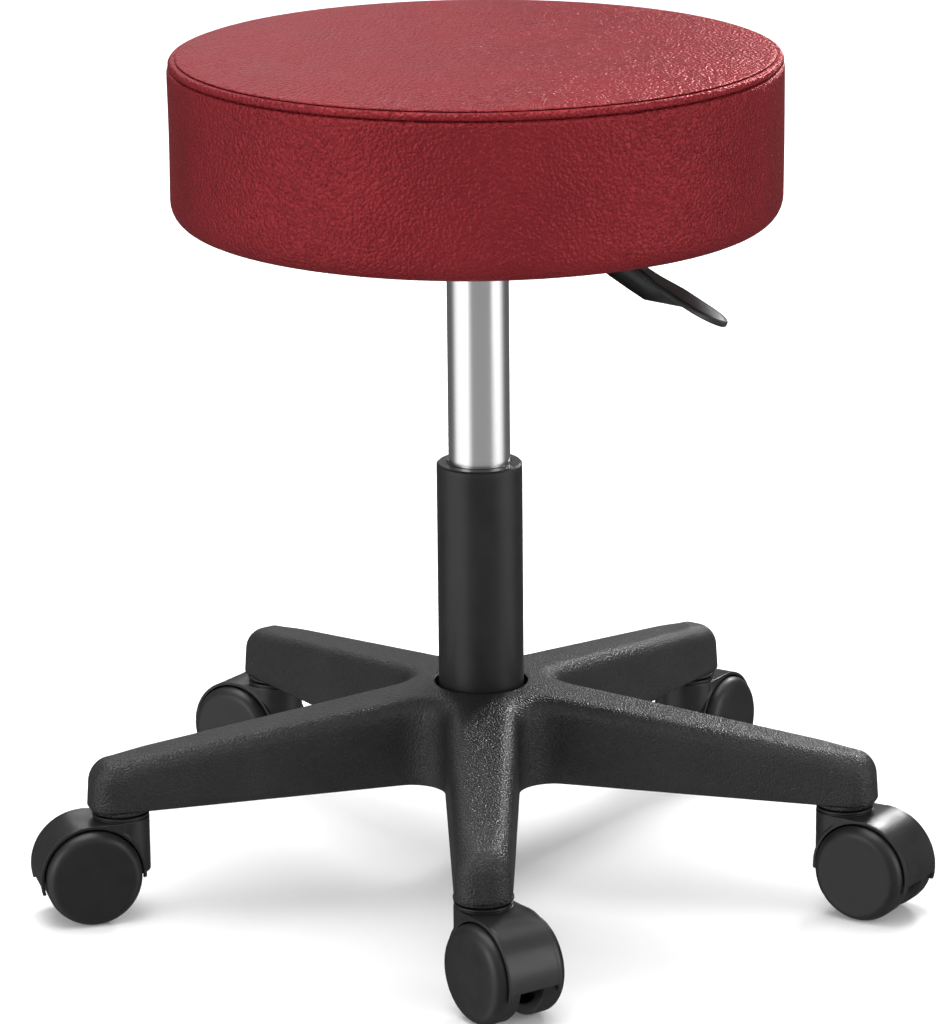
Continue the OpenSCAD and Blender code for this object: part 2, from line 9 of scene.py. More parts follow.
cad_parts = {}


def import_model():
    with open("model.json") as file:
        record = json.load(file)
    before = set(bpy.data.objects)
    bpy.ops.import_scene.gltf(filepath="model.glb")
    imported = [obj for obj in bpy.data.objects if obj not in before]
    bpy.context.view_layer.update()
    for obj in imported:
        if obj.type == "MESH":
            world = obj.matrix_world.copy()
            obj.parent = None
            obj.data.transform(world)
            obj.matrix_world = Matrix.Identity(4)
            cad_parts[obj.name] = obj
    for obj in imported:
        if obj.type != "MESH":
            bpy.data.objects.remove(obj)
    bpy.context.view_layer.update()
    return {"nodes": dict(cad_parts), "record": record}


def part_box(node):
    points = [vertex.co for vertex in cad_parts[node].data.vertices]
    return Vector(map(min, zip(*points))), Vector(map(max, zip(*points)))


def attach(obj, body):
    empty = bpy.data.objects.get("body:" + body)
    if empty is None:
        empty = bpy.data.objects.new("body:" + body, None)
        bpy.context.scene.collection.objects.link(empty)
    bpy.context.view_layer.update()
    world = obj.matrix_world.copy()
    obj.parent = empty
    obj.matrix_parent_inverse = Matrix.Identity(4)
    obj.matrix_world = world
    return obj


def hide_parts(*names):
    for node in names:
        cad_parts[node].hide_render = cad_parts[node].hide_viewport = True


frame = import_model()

MM = 0.001                      # lengths below are in millimetres, the scene's in metres
nodes = frame["nodes"]
joint = {j["name"]: j for j in frame["record"]["behaviour"]["joints"]}


# ---------------------------------------------------------------- mesh helpers

def add_object(name, data):
    """A new object in the scene, for a mesh, a light or a camera."""
    ob = bpy.data.objects.new(name, data)
    bpy.context.scene.collection.objects.link(ob)
    return ob


def add_mesh(name, verts, faces, merge=None):
    """A new object from points in millimetres, with its normals outward."""
    bm = bmesh.new()
    points = [bm.verts.new([c * MM for c in v]) for v in verts]
    for f in faces:
        bm.faces.new([points[i] for i in f])
    if merge:
        bmesh.ops.remove_doubles(bm, verts=bm.verts, dist=merge * MM)
    bmesh.ops.dissolve_degenerate(bm, edges=bm.edges, dist=1e-7)
    bmesh.ops.recalc_face_normals(bm, faces=bm.faces)
    mesh = bpy.data.meshes.new(name)
    bm.to_mesh(mesh)
    bm.free()
    return add_object(name, mesh)


def apply_modifiers(ob):
    """Turns an object's modifiers into its mesh."""
    graph = bpy.context.evaluated_depsgraph_get()
    mesh = bpy.data.meshes.new_from_object(ob.evaluated_get(graph))
    mesh.name = ob.name
    ob.modifiers.clear()
    ob.data = mesh


def modify(ob, kind, **values):
    """Adds one modifier and applies it."""
    mod = ob.modifiers.new(kind, kind)
    for key, value in values.items():
        setattr(mod, key, value)
    apply_modifiers(ob)


def boolean(ob, tool, operation="DIFFERENCE"):
    """Cuts, joins or intersects ob with tool, and deletes the tool."""
    modify(ob, "BOOLEAN", object=tool, operation=operation, solver="EXACT")
    bpy.data.objects.remove(tool)


def smooth(ob, angle=35):
    """Smooth shading with edges sharper than angle kept."""
    ob.data.shade_smooth()
    ob.data.set_sharp_from_angle(angle=math.radians(angle))


def finish(ob, body, slot, material, *replaced):
    """Gives a piece its material and its body, and hides the CAD nodes it stands for; slot is not used."""
    ob.data.materials.clear()
    ob.data.materials.append(material)
    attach(ob, body)
    if replaced:
        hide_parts(*replaced)


def grid_faces(rows, cols, wrap=False, start=0):
    """Quads of a grid of rows by cols points, wrapping round if asked."""
    span = cols if wrap else cols - 1
    return [(start + i * cols + j, start + i * cols + (j + 1) % cols,
             start + (i + 1) * cols + (j + 1) % cols, start + (i + 1) * cols + j)
            for i in range(rows - 1) for j in range(span)]


def ease(t):
    """A smooth step from 0 to 1."""
    t = min(max(t, 0.0), 1.0)
    return t * t * (3 - 2 * t)


def arc(cx, cy, r, a, b, n):
    """Points on an arc from angle a to angle b, in degrees."""
    return [(cx + r * math.cos(math.radians(a + (b - a) * i / n)),
             cy + r * math.sin(math.radians(a + (b - a) * i / n))) for i in range(n + 1)]


def revolve(name, profile, segments, closed=True, matrix=None):
    """A turned solid about Z from a profile of (radius, height) points."""
    turns = [2 * math.pi * k / segments for k in range(segments)]
    verts = [(r * math.cos(t), r * math.sin(t), z) for r, z in profile for t in turns]
    faces = grid_faces(len(profile), segments, wrap=True)
    if closed and profile[0] != profile[-1]:
        last = (len(profile) - 1) * segments
        faces += [(last + j, last + (j + 1) % segments, (j + 1) % segments, j) for j in range(segments)]
    ob = add_mesh(name, verts, faces, merge=0.0005)
    if matrix is not None:
        ob.data.transform(matrix)
    return ob


def loft(name, rows):
    """A solid through closed rows of points, with its first and last rows as flat ends."""
    count = len(rows[0])
    faces = grid_faces(len(rows), count, wrap=True)
    faces += [tuple(range(count)), tuple(range((len(rows) - 1) * count, len(rows) * count))]
    return add_mesh(name, [v for row in rows for v in row], faces)


def prism(name, outline, low, high):
    """A straight prism along Z from a plan outline. low and high may be functions of (x, y)."""
    n = len(outline)
    bottom = [(x, y, low(x, y) if callable(low) else low) for x, y in outline]
    top = [(x, y, high(x, y) if callable(high) else high) for x, y in outline]
    faces = [tuple(range(n)), tuple(range(n, 2 * n))]
    faces += [(i, (i + 1) % n, n + (i + 1) % n, n + i) for i in range(n)]
    return add_mesh(name, bottom + top, faces)


def join(name, obs):
    """Several objects as one mesh."""
    bm = bmesh.new()
    for ob in obs:
        bm.from_mesh(ob.data)
        bpy.data.objects.remove(ob)
    mesh = bpy.data.meshes.new(name)
    bm.to_mesh(mesh)
    bm.free()
    return add_object(name, mesh)


# ---------------------------------------------------------------- materials

class Shader:
    """A small helper that builds a Principled material from procedural nodes."""

    def __init__(self, name, rough, metal=0.0):
        self.mat = bpy.data.materials.new(name)
        self.mat.use_nodes = True
        self.tree = self.mat.node_tree
        self.tree.nodes.clear()
        self.out = self.node("ShaderNodeOutputMaterial")
        self.bsdf = self.node("ShaderNodeBsdfPrincipled")
        self.bsdf.inputs["Metallic"].default_value = metal
        self.bsdf.inputs["Roughness"].default_value = rough
        self.link(self.bsdf, "BSDF", self.out, "Surface")
        self.where = self.node("ShaderNodeTexCoord")
        self.bump_from = None

    def node(self, kind, **values):
        """A new node with some of its settings changed."""
        made = self.tree.nodes.new(kind)
        for key, value in values.items():
            setattr(made, key, value)
        return made

    def link(self, a, out, b, into):
        """Joins an output of node a to an input of node b."""
        self.tree.links.new(a.outputs[out], b.inputs[into])

    def set(self, **values):
        """Sets inputs of the Principled node, named with _ for a space."""
        for key, value in values.items():
            self.bsdf.inputs[key.replace("_", " ")].default_value = value
        return self

    def stretched(self, scale):
        """Object coordinates scaled by (x, y, z)."""
        mapping = self.node("ShaderNodeMapping")
        mapping.inputs["Scale"].default_value = scale
        self.link(self.where, "Object", mapping, "Vector")
        return mapping

    def placed(self, tex, source):
        """A texture at the source's coordinates, or at plain object coordinates."""
        self.link(source or self.where, "Vector" if source else "Object", tex, "Vector")
        return tex

    def noise(self, size, detail=4.0, rough=0.5, source=None):
        """Noise whose features are about size metres across."""
        tex = self.node("ShaderNodeTexNoise")
        tex.inputs["Scale"].default_value = 1 / size
        tex.inputs["Detail"].default_value = detail
        tex.inputs["Roughness"].default_value = rough
        return self.placed(tex, source)

    def cells(self, size, feature="F1", source=None, jitter=1.0):
        """Cells whose pitch is about size metres."""
        tex = self.node("ShaderNodeTexVoronoi", feature=feature)
        tex.inputs["Scale"].default_value = 1 / size
        tex.inputs["Randomness"].default_value = jitter
        return self.placed(tex, source)

    def warped(self, size, amount):
        """Object coordinates pushed about by noise, so that cells run in flowing lines."""
        tex = self.noise(size, 2.0)
        shift = self.node("ShaderNodeVectorMath", operation="MULTIPLY_ADD")
        self.link(tex, "Color", shift, 0)
        shift.inputs[1].default_value = (amount, amount, amount)
        self.link(self.where, "Object", shift, 2)
        return shift

    def ramp(self, source, out, stops):
        """A colour ramp over (position, colour) stops."""
        ramp = self.node("ShaderNodeValToRGB")
        while len(ramp.color_ramp.elements) < len(stops):
            ramp.color_ramp.elements.new(0.5)
        for element, (place, colour) in zip(ramp.color_ramp.elements, stops):
            element.position = place
            element.color = (*colour, 1) if len(colour) == 3 else colour
        self.link(source, out, ramp, "Fac")
        return ramp

    def spread(self, source, out, start, end, low, high, **values):
        """Goes from low to high as the source goes from start to end."""
        made = self.node("ShaderNodeMapRange", **values)
        span = {"From Min": start, "From Max": end, "To Min": low, "To Max": high}
        for name, number in span.items():
            made.inputs[name].default_value = number
        self.link(source, out, made, "Value")
        return made

    def colour(self, source, out, dark, light, low=0.3, high=0.7):
        """Base colour that goes from dark to light with the source."""
        shades = self.ramp(source, out, [(low, dark), (high, light)])
        self.link(shades, "Color", self.bsdf, "Base Color")
        return self

    def roughness(self, source, out, low, high):
        """Roughness that goes from low to high with the source."""
        self.link(self.spread(source, out, 0.3, 0.7, low, high), "Result", self.bsdf, "Roughness")
        return self

    def bump(self, source, out, height, strength=1.0, invert=False):
        """Adds a layer of bump of the given height in metres."""
        made = self.node("ShaderNodeBump", invert=invert)
        made.inputs["Strength"].default_value = strength
        made.inputs["Distance"].default_value = height
        self.link(source, out, made, "Height")
        if self.bump_from:
            self.link(self.bump_from, "Normal", made, "Normal")
        self.bump_from = made
        for link in list(self.bsdf.inputs["Normal"].links):
            self.tree.links.remove(link)
        self.link(made, "Normal", self.bsdf, "Normal")
        return self


def leather():
    """Burgundy synthetic leather with a fine wrinkled pebble grain."""
    s = Shader("burgundy_leather", 0.36, 0.42)
    s.set(Specular_IOR_Level=0.2, Specular_Tint=(0.9, 0.38, 0.40, 1.0))
    flow = s.warped(0.010, 0.003)
    pebbles = s.cells(0.0017, "SMOOTH_F1", flow)
    creases = s.cells(0.0027, "DISTANCE_TO_EDGE", flow)
    fine = s.noise(0.0007, 3.0)
    patches = s.noise(0.045, 4.0)
    s.colour(patches, "Fac", (0.158, 0.0142, 0.0178), (0.184, 0.0166, 0.0208))
    s.roughness(patches, "Fac", 0.34, 0.42)
    s.bump(creases, "Distance", 0.0016, 0.5)
    s.bump(pebbles, "Distance", 0.0020, 0.6, invert=True)
    s.bump(fine, "Fac", 0.00016, 0.4)
    return s.mat


def pebble_plastic():
    """Black moulded plastic with a leathery pebble grain."""
    s = Shader("black_grained_plastic", 0.40).set(Specular_IOR_Level=0.32)
    flow = s.warped(0.005, 0.0015)
    grain = s.cells(0.0010, "SMOOTH_F1", flow)
    mottled = s.noise(0.03, 4.0)
    fine = s.noise(0.0005, 2.0)
    s.colour(mottled, "Fac", (0.0125, 0.0125, 0.013), (0.017, 0.017, 0.018))
    s.roughness(mottled, "Fac", 0.34, 0.42)
    s.bump(grain, "Distance", 0.0009, 0.75, invert=True)
    s.bump(fine, "Fac", 0.00010, 0.5)
    return s.mat


def satin_plastic(name, base, rough):
    """Smooth black moulded plastic with a faint orange-peel and scuffs."""
    s = Shader(name, rough).set(Specular_IOR_Level=0.34)
    mottled = s.noise(0.012, 5.0)
    peel = s.noise(0.0007, 2.0)
    s.colour(mottled, "Fac", tuple(c * 0.85 for c in base), tuple(c * 1.15 for c in base))
    s.roughness(mottled, "Fac", rough - 0.05, rough + 0.06)
    s.bump(peel, "Fac", 0.00006, 0.5)
    return s.mat


def satin_paint():
    """Powder-coated steel tube."""
    s = Shader("black_powder_coat", 0.38)
    s.set(Specular_IOR_Level=0.3, Coat_Weight=0.05, Coat_Roughness=0.3)
    mottled = s.noise(0.02, 4.0)
    peel = s.noise(0.0010, 2.0)
    s.colour(mottled, "Fac", (0.010, 0.010, 0.0105), (0.014, 0.014, 0.0145))
    s.roughness(mottled, "Fac", 0.32, 0.42)
    s.bump(peel, "Fac", 0.00010, 0.35)
    return s.mat


def chrome():
    """Ground and plated steel, with a fine grain round the tube."""
    s = Shader("satin_chrome", 0.24, 1.0).set(Anisotropic=0.3, Anisotropic_Rotation=0.25)
    around = s.node("ShaderNodeTangent", direction_type="RADIAL", axis="Z")
    s.link(around, "Tangent", s.bsdf, "Tangent")
    rings = s.noise(0.004, 6.0, 0.7, s.stretched((0.2, 0.2, 30.0)))
    s.colour(rings, "Fac", (0.78, 0.78, 0.785), (0.84, 0.84, 0.845))
    s.roughness(rings, "Fac", 0.20, 0.27)
    s.bump(rings, "Fac", 0.00002, 0.3)
    return s.mat


def plated(name, tint, rough):
    """Zinc-plated or blackened steel."""
    s = Shader(name, rough, 1.0)
    spots = s.noise(0.004, 5.0)
    s.colour(spots, "Fac", tuple(c * 0.85 for c in tint), tint)
    s.roughness(spots, "Fac", rough - 0.06, rough + 0.08)
    s.bump(s.noise(0.0006, 2.0), "Fac", 0.00004, 0.4)
    return s.mat


def dark_steel():
    """Pressed steel with a satin black coat."""
    s = Shader("black_coated_steel", 0.42, 0.2)
    spots = s.noise(0.008, 5.0)
    s.colour(spots, "Fac", (0.018, 0.018, 0.019), (0.035, 0.035, 0.037))
    s.roughness(spots, "Fac", 0.36, 0.5)
    s.bump(s.noise(0.0009, 2.0), "Fac", 0.00010, 0.4)
    return s.mat


def rubber():
    """Dull black rubber with a fine speckle."""
    s = Shader("rubber_stop", 0.8)
    spots = s.noise(0.004, 4.0)
    s.colour(spots, "Fac", (0.015, 0.015, 0.015), (0.03, 0.03, 0.03))
    s.bump(spots, "Fac", 0.0001, 0.4)
    return s.mat


def plywood():
    """Raw plywood: long grain on the faces and plies at the edge."""
    s = Shader("plywood", 0.7)
    grain = s.noise(0.03, 8.0, 0.6, s.stretched((1.0, 14.0, 4.0)))
    s.colour(grain, "Fac", (0.38, 0.23, 0.11), (0.60, 0.42, 0.24))
    s.bump(grain, "Fac", 0.0003, 0.5)
    return s.mat


def dust_cloth():
    """Black non-woven cloth with a point-bonded dimple pattern."""
    s = Shader("black_nonwoven_cloth", 0.92).set(Sheen_Weight=0.3, Sheen_Roughness=0.5)
    dimples = s.cells(0.0022, "F1", None, 0.0)
    fibres = s.noise(0.0009, 6.0, 0.7)
    s.colour(fibres, "Fac", (0.012, 0.012, 0.012), (0.032, 0.032, 0.033))
    s.bump(dimples, "Distance", 0.0005, 0.6)
    s.bump(fibres, "Fac", 0.0003, 0.6)
    return s.mat


def white_floor():
    """Pale paper sweep that glows a little more the further it is from the stool."""
    s = Shader("white_floor", 0.6)
    s.set(Specular_IOR_Level=0.15, Emission_Color=(1, 1, 1, 1))
    specks = s.noise(0.4, 3.0)
    s.colour(specks, "Fac", (0.86, 0.86, 0.86), (0.88, 0.88, 0.88))
    away = s.node("ShaderNodeVectorMath", operation="LENGTH")
    s.link(s.where, "Object", away, 0)
    glow = s.spread(away, "Value", 0.8, 3.0, 0.08, 0.7, interpolation_type="SMOOTHSTEP")
    s.link(glow, "Result", s.bsdf, "Emission Strength")
    return s.mat


LEATHER = leather()
PEBBLE = pebble_plastic()
CASTER = satin_plastic("black_caster_plastic", (0.011, 0.011, 0.0112), 0.34)
WHEEL = satin_plastic("black_wheel_plastic", (0.009, 0.009, 0.0092), 0.40)
HANDLE = satin_plastic("black_handle_plastic", (0.017, 0.017, 0.018), 0.36)
BUSH = satin_plastic("black_bush_plastic", (0.014, 0.014, 0.0142), 0.42)
PAINT = satin_paint()
CHROME = chrome()
ZINC = plated("zinc_plate", (0.60, 0.61, 0.62), 0.34)
STEEL = dark_steel()
RUBBER = rubber()
PLYWOOD = plywood()
CLOTH = dust_cloth()


# ---------------------------------------------------------------- padded seat

SEAT_SIDES = 64                 # squares across the top, so that its rim has four times as many points
GRID_MARGIN = 5.5               # from the upper seam in to the edge of the grid of squares
BAND_POINTS = 512               # points round a sewn strip
CHANNEL = 2.2                   # depth of a sewn channel
SKIN = 1.2                      # thickness of the leather
CROWN_FLAT = 90                 # radius of the flat middle of the sitting face
CROWN_POWER = 4.2               # how late the crown falls towards the seam
CROWN_ROOM = 1.2                # left under the top of the seat for the puff
ROLL = 14                       # radius of the rolled lower edge
ROLL_FLAT = 5                   # flat strip under the seat, between its two rolls
TUCK = 8                        # radius of the small roll up to the board
TUCKED_IN = (5.4, 15, 30)       # how far in the leather is held to the board, from the big roll
TOP_PUFF = 2.2                  # the most the sitting face may swell
EDGE_PUFF = 1.2                 # the most the rim and the side may swell
CLOTH_FRAMES = 18

# across the welt: share of the way down, height over the straight line, how firmly it is held
WELT_SECTION = ((0.15, -0.3, 1), (0.23, 0.4, 0.6), (0.36, 0.85, 0.2), (0.52, 0.95, 0.1),
                (0.68, 0.8, 0.2), (0.79, 0.35, 0.6), (0.87, -0.3, 1))


def seat_sizes():
    """The seat's heights and radii in millimetres, from the CAD solids."""
    side_low, side_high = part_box("seat_cover_side")
    top_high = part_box("seat_cover_top")[1]
    return {
        "r": side_high[0] / MM, "low": side_low[2] / MM, "seam": side_high[2] / MM,
        "top": top_high[2] / MM, "welt_r": top_high[0] / MM, "welt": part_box("seat_welt")[1][2] / MM,
        "board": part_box("seat_board")[0][2] / MM,
    }


SEAT = seat_sizes()


def crown_height(r):
    """Height of the sitting face before it is puffed."""
    rise = SEAT["top"] - SEAT["welt"]
    t = np.clip((r - CROWN_FLAT) / (SEAT["welt_r"] - CROWN_FLAT), 0, 1.02)
    return SEAT["top"] - CROWN_ROOM - (rise - CROWN_ROOM) * t ** CROWN_POWER


def side_profile():
    """Rings from the rim of the top to the tucked edge on the board: (radius, height, held, part).

    The small steps by the seams turn each panel's edge down into its channel.
    """
    r, low, seam, welt, welt_r = SEAT["r"], SEAT["low"], SEAT["seam"], SEAT["welt"], SEAT["welt_r"]
    slant = math.hypot(r - welt_r, welt - seam)
    out_r, out_z = (welt - seam) / slant, (r - welt_r) / slant

    def across(t, proud):
        """A point on the welt, t of the way from the upper seam to the lower one."""
        return (welt_r + (r - welt_r) * t + out_r * proud, welt + (seam - welt) * t + out_z * proud)

    rings = [(welt_r - 3.4, crown_height(welt_r - 3.4), 0, "top"),
             (welt_r - 2.0, crown_height(welt_r - 2.0) - 0.05, 0, "top"),
             (welt_r - 1.5, welt + 0.1, 0.6, "top"), (welt_r - 0.7, welt - 0.5, 1, "top")]
    rings += [(*across(0, -CHANNEL), 1, "upper_seam")]
    rings += [(*across(t, proud), held, "welt") for t, proud, held in WELT_SECTION]
    rings += [(r - CHANNEL, seam - 0.3, 1, "lower_seam")]
    rings += [(r - 0.6, seam - 1.1, 1, "side"), (r + 0.0, seam - 1.9, 0.6, "side"),
              (r + 0.2, seam - 3.4, 0.2, "side")]
    rows = 13
    rings += [(r + 0.2 - 0.2 * k / rows, seam - 3.4 - (seam - 3.4 - low - ROLL) * k / rows, 0.05, "side")
              for k in range(1, rows + 1)]
    rings += [(x, z, 0.1, "side") for x, z in arc(r - ROLL, low + ROLL, ROLL, 0, -90, 9)[1:]]
    rings += [(x, z, 0.4, "side") for x, z in arc(r - ROLL - ROLL_FLAT, low + TUCK, TUCK, -90, -180, 5)]
    rings += [(r - ROLL - inset - TUCK, SEAT["board"] + 0.3, 1, "side") for inset in TUCKED_IN]
    return rings


def disc_grid(n, radius):
    """A square grid of (n + 1) squared points bent into a disc, and the order of its rim."""
    points = []
    for i in range(n + 1):
        for j in range(n + 1):
            a, b = 2 * i / n - 1, 2 * j / n - 1
            if a == 0 and b == 0:
                points.append((0.0, 0.0))
                continue
            if abs(a) > abs(b):
                rr, turn = a, math.pi / 4 * b / a
            else:
                rr, turn = b, math.pi / 2 - math.pi / 4 * a / b
            points.append((radius * rr * math.cos(turn), radius * rr * math.sin(turn)))
    m = n + 1
    rim = [n * m + j for j in range(n + 1)] + [i * m + n for i in range(n - 1, -1, -1)]
    rim += [j for j in range(n - 1, -1, -1)] + [i * m for i in range(1, n)]
    return np.array(points), rim


def puff(points, faces, held, cap):
    """Inflates a cloth with its held points pinned, and gives the moved points in millimetres."""
    mesh = bpy.data.meshes.new("seat_cloth")
    mesh.from_pydata((points * MM).tolist(), [], faces)
    mesh.update()
    ob = add_object("seat_cloth", mesh)
    pins = ob.vertex_groups.new(name="held")
    for i, h in enumerate(held):
        if h > 0:
            pins.add([i], float(h), "REPLACE")
    cloth = ob.modifiers.new("cloth", "CLOTH")
    s = cloth.settings
    s.quality = 6
    s.mass = 0.3
    s.tension_stiffness = 25
    s.compression_stiffness = 25
    s.shear_stiffness = 15
    s.bending_stiffness = 1.2
    s.use_pressure = True
    s.uniform_pressure_force = 3.0
    s.vertex_group_mass = "held"
    s.effector_weights.gravity = 0
    cloth.collision_settings.use_collision = False
    scene = bpy.context.scene
    for f in range(1, CLOTH_FRAMES + 1):
        scene.frame_set(f)
    graph = bpy.context.evaluated_depsgraph_get()
    done = ob.evaluated_get(graph).to_mesh()
    out = np.array([v.co[:] for v in done.vertices]) / MM
    scene.frame_set(1)
    bpy.data.objects.remove(ob)
    move = out - points
    size = np.linalg.norm(move, axis=1, keepdims=True)
    return points + move * np.minimum(1, cap[:, None] / np.maximum(size, 1e-9))


def resample(ring, turns):
    """A closed ring of points read at other angles with a smooth periodic cubic."""
    n = len(ring)
    first = math.atan2(ring[0][1], ring[0][0])
    place = (np.asarray(turns) - first) / (2 * math.pi) * n
    k = np.floor(place).astype(int)
    f = (place - k)[:, None]
    p0, p1, p2, p3 = (ring[(k + d) % n] for d in (-1, 0, 1, 2))
    return 0.5 * (2 * p1 + (p2 - p0) * f + (2 * p0 - 5 * p1 + 4 * p2 - p3) * f ** 2
                  + (3 * p1 - p0 - 3 * p2 + p3) * f ** 3)


def even_ring(ring):
    """The same ring with its points at even angles, counter-clockwise from the first."""
    angle = np.unwrap(np.arctan2(ring[:, 1], ring[:, 0]))
    if angle[-1] < angle[0]:
        ring, angle = ring[::-1], angle[::-1]
    n = len(ring)
    want = angle[0] + 2 * math.pi * np.arange(n) / n
    angle = np.append(angle, angle[0] + 2 * math.pi)
    closed = np.vstack([ring, ring[:1]])
    return np.stack([np.interp(want, angle, closed[:, c]) for c in range(3)], axis=1)


def seat():
    """The sewn cushion: a top panel, a welt band between two channels, and a side panel rolled under."""
    n = SEAT_SIDES
    profile = side_profile()
    disc, rim = disc_grid(n, SEAT["welt_r"] - GRID_MARGIN)
    disc_r = np.linalg.norm(disc, axis=1)
    top = np.column_stack([disc, crown_height(disc_r)])
    rim_turn = np.arctan2(disc[rim, 1], disc[rim, 0])
    rings = [np.column_stack([r * np.cos(rim_turn), r * np.sin(rim_turn), np.full(len(rim), z)])
             for r, z, _, _ in profile]
    m = n + 1
    points = np.vstack([top] + rings)
    faces = [(i * m + j, (i + 1) * m + j, (i + 1) * m + j + 1, i * m + j + 1)
             for i in range(n) for j in range(n)]
    count = len(rim)
    faces += [(rim[j], m * m + j, m * m + (j + 1) % count, rim[(j + 1) % count]) for j in range(count)]
    faces += [tuple(reversed(f)) for f in grid_faces(len(rings), count, wrap=True, start=m * m)]
    held = np.concatenate([np.zeros(m * m)] + [np.full(count, h) for _, _, h, _ in profile])
    cap = np.concatenate([np.full(m * m, TOP_PUFF)]
                         + [np.full(count, EDGE_PUFF * (1 - h)) for _, _, h, _ in profile])
    moved = puff(points, faces, held, cap)

    parts = [p for _, _, _, p in profile]
    def ring_at(k):
        """The puffed points of ring k."""
        return moved[m * m + k * count: m * m + (k + 1) * count]

    last_top = parts.index("upper_seam")
    last_welt = parts.index("lower_seam")

    verts = [tuple(v) for v in moved[: m * m + (last_top + 1) * count]]
    shown = [f for f in faces if max(f) < len(verts)]
    top_panel = add_mesh("seat_top_panel", verts, shown)
    modify(top_panel, "SUBSURF", levels=1, subdivision_type="CATMULL_CLARK")
    modify(top_panel, "SOLIDIFY", thickness=SKIN * MM, offset=-1)
    smooth(top_panel, 60)
    finish(top_panel, "seat", "upholstery", LEATHER, "seat_cover_top", "seat_foam", "seat_edge_foam")

    welt = band("seat_welt_band", [ring_at(k) for k in range(last_top, last_welt + 1)], 0.12, 0.5)
    finish(welt, "seat", "upholstery", LEATHER, "seat_welt")
    side = band("seat_side_panel", [ring_at(k) for k in range(last_welt, len(rings))], 0.10, 1.1)
    finish(side, "seat", "upholstery", LEATHER, "seat_cover_side")


def band(name, rings, pucker, joint_depth):
    """A sewn strip from rings of points, with its own joint at the back and faint puckers at its seams."""
    joint_at = math.pi / 2
    joint_w = 0.7
    turns = np.arange(BAND_POINTS) * (2 * math.pi / BAND_POINTS) + joint_at
    edge = np.array([0.35, 0.8, 1.4, 2.2]) / SEAT["r"]
    by_joint = joint_at + 2 * math.pi + np.concatenate([-edge[::-1], [0], edge])
    turns = np.concatenate([turns[2:-1], by_joint])
    fine_waves, coarse_waves = np.sin(turns * 131), np.sin(turns * 77 + 1.3)
    from_joint = np.abs(np.angle(np.exp(1j * (turns - joint_at)))) * SEAT["r"]
    dent = joint_depth * np.exp(-((from_joint / joint_w) ** 2))
    tall = len(rings) > 14
    rows = []
    for k, ring in enumerate(rings):
        row = resample(even_ring(ring), turns)
        away = min(k, 6) / 6.0
        out = row.copy()
        out[:, 2] = 0
        out /= np.linalg.norm(out, axis=1)[:, None]
        fade = math.exp(-3.0 * away) if 0 < k < len(rings) - 1 else 0
        wave = pucker * fade * (fine_waves + 0.6 * coarse_waves)
        slow = 0.25 * np.sin(turns * 5 + 0.7) * np.sin(row[:, 2] * 0.06) if tall else 0 * turns
        rows.append(row + out * (wave + slow - dent)[:, None])
    verts = [tuple(v) for row in rows for v in row]
    faces = grid_faces(len(rows), len(turns), wrap=True)
    ob = add_mesh(name, verts, faces)
    face = ob.data.polygons[len(ob.data.polygons) // 2]
    if face.normal.dot(Vector((face.center.x, face.center.y, 0))) < 0:
        ob.data.flip_normals()
    modify(ob, "SOLIDIFY", thickness=SKIN * MM, offset=-1)
    smooth(ob, 60)
    return ob


# ---------------------------------------------------------------- star base

LEGS = 5
HUB_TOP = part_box("star_base")[1][2] / MM
STEM_CIRCLE = math.hypot(*joint["caster_1_swivel"]["pos_m"][:2]) / MM
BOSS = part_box("star_base")[0][2] / MM
FOOT_X = 50.0                   # where the lower edge of the base starts to rise towards the leg ends
BELOW = 50.0                    # a height under the base, for tools that cut up into it
SOCKET_R, SOCKET_H = 5.5, 25.4  # the hole for a stem
POCKET_ROOF, POCKET_CORNER = 5.0, 2.0
POCKETS = ((52, 100, 6.5), (104, 150, 5.0), (154, 199, 4.5))    # start, end and side wall of each
# x: distance from the column, w: half width, roll: radius of the rolled top edge, foot: lower edge
LEG = {
    "root_x": 48.0, "root_w": 21.9, "tip_x": 227.6, "tip_w": 16.2, "end_x": 238.6, "corner": 13.0,
    "armpit": 20.0, "roll": 10.0, "root_roll": 14.0, "tip_roll": 13.0, "draft": 0.9, "foot": 1.4,
    "root_foot": BOSS + 1.7, "tip_foot": BOSS + 2.2, "slope": 0.122, "shoulder": 30.0, "bore": 27.5,
}


def leg_width(x):
    """Half width of a leg at distance x along it."""
    t = (x - LEG["root_x"]) / (LEG["tip_x"] - LEG["root_x"])
    return LEG["root_w"] + (LEG["tip_w"] - LEG["root_w"]) * t


def base_top(r):
    """Height of the top of the base at distance r from the column."""
    soft = 7.0                  # how gently the flat hub turns down into the legs
    return HUB_TOP - LEG["slope"] * soft * np.logaddexp(0, (r - LEG["shoulder"]) / soft)


def base_foot(r):
    """Height of the lower edge of the base at distance r from the column."""
    t = np.clip((r - FOOT_X) / (LEG["tip_x"] - FOOT_X), 0, 1)
    return LEG["root_foot"] + (LEG["tip_foot"] - LEG["root_foot"]) * t


